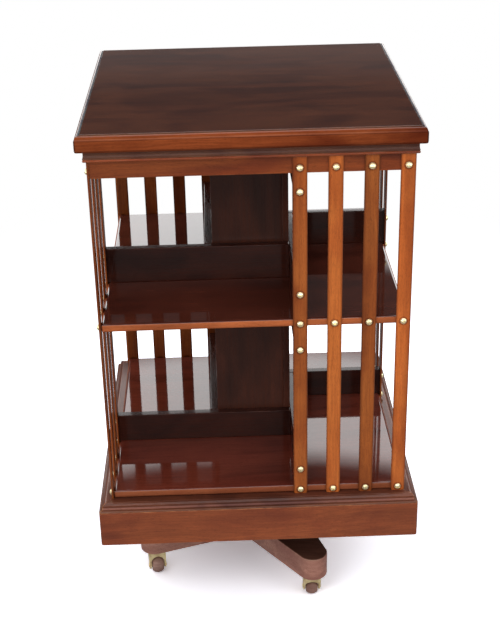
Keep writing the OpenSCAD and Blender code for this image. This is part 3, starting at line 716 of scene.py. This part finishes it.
# Painted light and shade along the edge: a greyish painted highlight round the ovolo, a painted shade line at
# the outer arris, and on the left and right a greyer band, a painted pale reflection and a painted dark line
# outside it; the last band is a painted highlight on the fillet.
TOP_PAINTED_LIGHT_AND_SHADE = (
    ("within", TOP_HALF - 0.0082, TOP_HALF - 0.0058, (0.75, 1.6, 2.6)),
    ("within", TOP_HALF - 0.0014, TOP_HALF - 0.0003, (0.6, 0.65, 0.8)),
    ("left and right", TOP_HALF - 0.0082, TOP_HALF - 0.0063, (0.6, 1.4, 2.8)),
    ("left and right", TOP_HALF - 0.0061, TOP_HALF - 0.0039, (1.15, 4.2, 12.0)),
    ("left and right", TOP_HALF - 0.0036, TOP_HALF - 0.0008, (0.25, 0.3, 0.4)),
    ("above", TOP_HEIGHT - 0.0075, TOP_HEIGHT - 0.0053, (1.4, 1.9, 2.8)),
)
TOP_WORN = (("front and back", TOP_HALF - 0.0034), ("left and right", TOP_HALF - 0.0037))
top_wood = wood("top_mahogany", "X", TOP_TONES, sheen=0.0, mirror=0.05, rubbed=(176, 112, 76), depth=0.5,
                stained=("within", TOP_HALF - 0.0084, (0.31, 0.38, 0.54)), worn=TOP_WORN,
                soil=banded(TOP_PAINTED_LIGHT_AND_SHADE))
dress("top_board", top_wood, MOULDING_ARRIS)


# The slats: thin upright laths over both tiers, lighter than the case, four on each side.
# Brass screws hold them to the frieze, the shelf and the base, the first slats also to the stops and rails.
SLAT_ARRIS = 0.0004
SLAT_HALF = 0.01075
SLAT_INSIDE = -box_of("slats_front")[1].y + 0.0003
SLAT_NOMINAL_TONES = ((129, 60, 23), (178, 91, 38), (201, 115, 51))
SLAT_TONES = {"front": (-0.06, 0.18, -0.24, 0.42), "right": (0.05, -0.18, 0.2, -0.08),
              "back": (-0.15, 0.14, 0.0, -0.22), "left": (-0.05, 0.2, -0.15, 0.06)}
# The tint for painted shade and dirt round the screw heads, and for the darker slat edges.
SLAT_SHADE_AND_DIRT = (0.42, 0.36, 0.36, 1.0)
EDGE_DARKENING_START = 0.68
EDGE_DARKENING = 0.75
HALO_SHADE_AND_DIRT = 0.9
HALO_RADII = 1.7
FEW_SCREWS = 4.0
MANY_SCREWS = 6.0
HEAD_RADIUS = 0.005
HEAD_RISE = 0.004
ALL_SLATS = 16


def wide_way(low, high):
    """The axis along which a box is wider in plan: 0 for X, 1 for Y."""
    return 0 if high.x - low.x > high.y - low.y else 1


def screw_seats(node):
    """The place on its slat and the outward direction of each screw of a node."""
    found = []
    bm = merged(node)
    for screw in boards_of(bm):
        low, high = corners_of(vert.co for vert in screw)
        middle = (low + high) / 2
        side = wide_way(low, high)
        outward = Vector((0, 0, 0))
        outward[side] = math.copysign(1, middle[side])
        seat = middle.copy()
        seat[side] = (high if middle[side] > 0 else low)[side] - outward[side] * HEAD_RISE
        found.append((seat, outward))
    bm.free()
    return found


seats = screw_seats("slat_screws")


def screw_levels():
    """The heights of the screws, each with how many slats have a screw there."""
    heights = [round(seat.z, 4) for seat, outward in seats]
    return {height: heights.count(height) for height in sorted(set(heights))}


def mark_slats(tones):
    """Marks each slat with its tone, its number of screws and the way across it, from -1 to 1."""
    def mark(bm, boards):
        layers = {key: bm.verts.layers.float[key] for key in BOARD_MARKS}
        boards.sort(key=lambda board: (round(board[0].co.x, 2), board[0].co.y))
        for board, tone in zip(boards, tones):
            low, high = corners_of(vert.co for vert in board)
            side = wide_way(low, high)
            middle, half = (low[side] + high[side]) / 2, (high[side] - low[side]) / 2
            held = [seat for seat, outward in seats if all(
                low[i] - HEAD_RADIUS < seat[i] < high[i] + HEAD_RADIUS for i in (0, 1))]
            for vert in board:
                vert[layers["tone"]] = tone
                vert[layers["screws"]] = len(held)
                vert[layers["across"]] = (vert.co[side] - middle) / half
    return mark


def soiled_slat(tree, place, body):
    """Each slat's own tone, darker towards its edges, with painted shade and dirt round its screws' heads."""
    tone, screws, across = (add(tree, "ShaderNodeAttribute", {"attribute_name": key}).outputs["Fac"]
                            for key in BOARD_MARKS)
    body = add(tree, "ShaderNodeHueSaturation", Color=body, Value=calc(tree, "ADD", tone, 1.0)).outputs[0]
    height = height_of(tree, place)
    few = between(tree, screws, FEW_SCREWS, MANY_SCREWS, 1.0, 0.0)
    nearest = 1.0
    for level, count in screw_levels().items():
        gap = calc(tree, "ABSOLUTE", calc(tree, "SUBTRACT", height, level))
        if count < ALL_SLATS:
            gap = calc(tree, "ADD", gap, few)
        nearest = calc(tree, "MINIMUM", nearest, gap)
    across = calc(tree, "ABSOLUTE", across)
    sideways = calc(tree, "MULTIPLY", across, SLAT_HALF)
    reach = calc(tree, "MULTIPLY_ADD", nearest, nearest, calc(tree, "MULTIPLY", sideways, sideways))
    halo = between(tree, calc(tree, "SQRT", reach), HEAD_RADIUS, HEAD_RADIUS * HALO_RADII, HALO_SHADE_AND_DIRT, 0.0)
    edges = between(tree, across, EDGE_DARKENING_START, 1.0, 0.0, EDGE_DARKENING)
    return tint(tree, calc(tree, "MAXIMUM", halo, edges), body, SLAT_SHADE_AND_DIRT, "MULTIPLY")


# Inside SLAT_INSIDE the slats are painted dark with little coat: painted shade on their inner faces inside
# the case.
slat_wood = wood("slat_mahogany", "Z", SLAT_NOMINAL_TONES, coat=0.4, rubbed=(100, 50, 26), rub=0.6,
                 stained=("within", SLAT_INSIDE, (0.42, 0.38, 0.42)), inner_coat=0.1, soil=soiled_slat)
for side in SIDES:
    dress(f"slats_{side}", slat_wood, SLAT_ARRIS, mark=mark_slats(SLAT_TONES[side]))


# The slats' brass screws: domed heads with a slot, turned in by hand, so that the slots lie at all angles.
# Each head sits where the construction has it, on its short shank.
SCREW_SIZES = {"Head Radius": HEAD_RADIUS, "Head Rise": HEAD_RISE, "Slot Width": 0.0011,
               "Slot Depth": 0.0011, "Shank Radius": 0.0017, "Shank Length": 0.012}
SLOT_SEED = 7
HEAD_SEGMENTS = 20
HEAD_RINGS = 12
SHANK_SIDES = 12
SHANK_SINK = -0.49
CUTTER_RADII = 3.0
HEAD_CREASE = math.radians(35)


def make_screw_tree(material):
    """Geometry Nodes: at each point a slotted dome head on a shank, facing out, its slot turned at random."""
    tree = bpy.data.node_groups.new("slotted_screws", "GeometryNodeTree")
    tree.interface.new_socket("Geometry", in_out="INPUT", socket_type="NodeSocketGeometry")
    for key in SCREW_SIZES:
        tree.interface.new_socket(key, in_out="INPUT", socket_type="NodeSocketFloat")
    tree.interface.new_socket("Seed", in_out="INPUT", socket_type="NodeSocketInt")
    tree.interface.new_socket("Geometry", in_out="OUTPUT", socket_type="NodeSocketGeometry")
    given = tree.nodes.new("NodeGroupInput").outputs
    result = tree.nodes.new("NodeGroupOutput")

    ball = add(tree, "GeometryNodeMeshUVSphere", Segments=HEAD_SEGMENTS, Rings=HEAD_RINGS, Radius=1.0)
    place = add(tree, "GeometryNodeInputPosition")
    parts = add(tree, "ShaderNodeSeparateXYZ", Vector=place.outputs[0]).outputs
    x = calc(tree, "MULTIPLY", parts["X"], given["Head Radius"])
    y = calc(tree, "MULTIPLY", parts["Y"], given["Head Radius"])
    z = calc(tree, "MULTIPLY", calc(tree, "MAXIMUM", parts["Z"], 0.0), given["Head Rise"])
    dome_point = add(tree, "ShaderNodeCombineXYZ", X=x, Y=y, Z=z)
    dome = add(tree, "GeometryNodeSetPosition", Geometry=ball.outputs["Mesh"], Position=dome_point.outputs[0])

    cutter_length = calc(tree, "MULTIPLY", given["Head Radius"], CUTTER_RADII)
    cutter_height = calc(tree, "MULTIPLY", given["Slot Depth"], 2.0)
    cutter_size = add(tree, "ShaderNodeCombineXYZ", X=cutter_length, Y=given["Slot Width"], Z=cutter_height)
    cutter = add(tree, "GeometryNodeMeshCube", Size=cutter_size.outputs[0])
    lift = add(tree, "ShaderNodeCombineXYZ", Z=given["Head Rise"])
    raised = add(tree, "GeometryNodeTransform", Geometry=cutter.outputs["Mesh"], Translation=lift.outputs[0])
    head = add(tree, "GeometryNodeMeshBoolean", {"operation": "DIFFERENCE"})
    tree.links.new(dome.outputs[0], head.inputs[0])
    tree.links.new(raised.outputs[0], head.inputs[1])

    shank = add(tree, "GeometryNodeMeshCylinder", Vertices=SHANK_SIDES, Radius=given["Shank Radius"],
                Depth=given["Shank Length"])
    sink = add(tree, "ShaderNodeCombineXYZ", Z=calc(tree, "MULTIPLY", given["Shank Length"], SHANK_SINK))
    sunk = add(tree, "GeometryNodeTransform", Geometry=shank.outputs["Mesh"], Translation=sink.outputs[0])
    screw = tree.nodes.new("GeometryNodeJoinGeometry")
    tree.links.new(head.outputs["Mesh"], screw.inputs[0])
    tree.links.new(sunk.outputs[0], screw.inputs[0])

    outward = add(tree, "GeometryNodeInputNamedAttribute", {"data_type": "FLOAT_VECTOR"}, Name="outward")
    facing = add(tree, "FunctionNodeAlignRotationToVector", {"axis": "Z"}, Vector=outward.outputs[0])
    chance = add(tree, "FunctionNodeRandomValue", {"data_type": "FLOAT"}, Seed=given["Seed"])
    chance.inputs[3].default_value = math.pi
    spin = add(tree, "ShaderNodeCombineXYZ", Z=chance.outputs[1])
    turn = add(tree, "FunctionNodeEulerToRotation", Euler=spin.outputs[0])
    turned = add(tree, "FunctionNodeRotateRotation", {"rotation_space": "LOCAL"}, Rotation=facing.outputs[0],
                 Rotate_By=turn.outputs[0])
    spread = add(tree, "GeometryNodeInstanceOnPoints", Points=given["Geometry"],
                 Instance=screw.outputs[0], Rotation=turned.outputs[0])
    real = add(tree, "GeometryNodeRealizeInstances", Geometry=spread.outputs[0])
    finish = add(tree, "GeometryNodeSetMaterial", Geometry=real.outputs[0], Material=material)
    tree.links.new(finish.outputs[0], result.inputs[0])
    return tree


screw_brass = metal("screw_brass", (250, 238, 192), (190, 156, 96), 0.28, scale=260.0, metallic=0.8)
seat_mesh = bpy.data.meshes.new("slat_screws_piece")
seat_mesh.from_pydata([seat for seat, outward in seats], [], [])
facing_out = seat_mesh.attributes.new("outward", "FLOAT_VECTOR", "POINT")
facing_out.data.foreach_set("vector", [value for seat, outward in seats for value in outward])
screws = bpy.data.objects.new("slat_screws_piece", seat_mesh)
scene.collection.objects.link(screws)
slotted = screws.modifiers.new("slotted_screws", "NODES")
slotted.node_group = make_screw_tree(screw_brass)
settings = {**SCREW_SIZES, "Seed": SLOT_SEED}
for socket in slotted.node_group.interface.items_tree:
    if socket.in_out == "INPUT" and socket.name in settings:
        slotted[socket.identifier] = settings[socket.name]
depsgraph = bpy.context.evaluated_depsgraph_get()
screw_mesh = bpy.data.meshes.new_from_object(screws.evaluated_get(depsgraph), depsgraph=depsgraph)
screws.modifiers.clear()
screws.data = screw_mesh
screw_mesh.polygons.foreach_set("use_smooth", [True] * len(screw_mesh.polygons))
screw_mesh.set_sharp_from_angle(angle=HEAD_CREASE)
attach(screws, "case")
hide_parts("slat_screws")
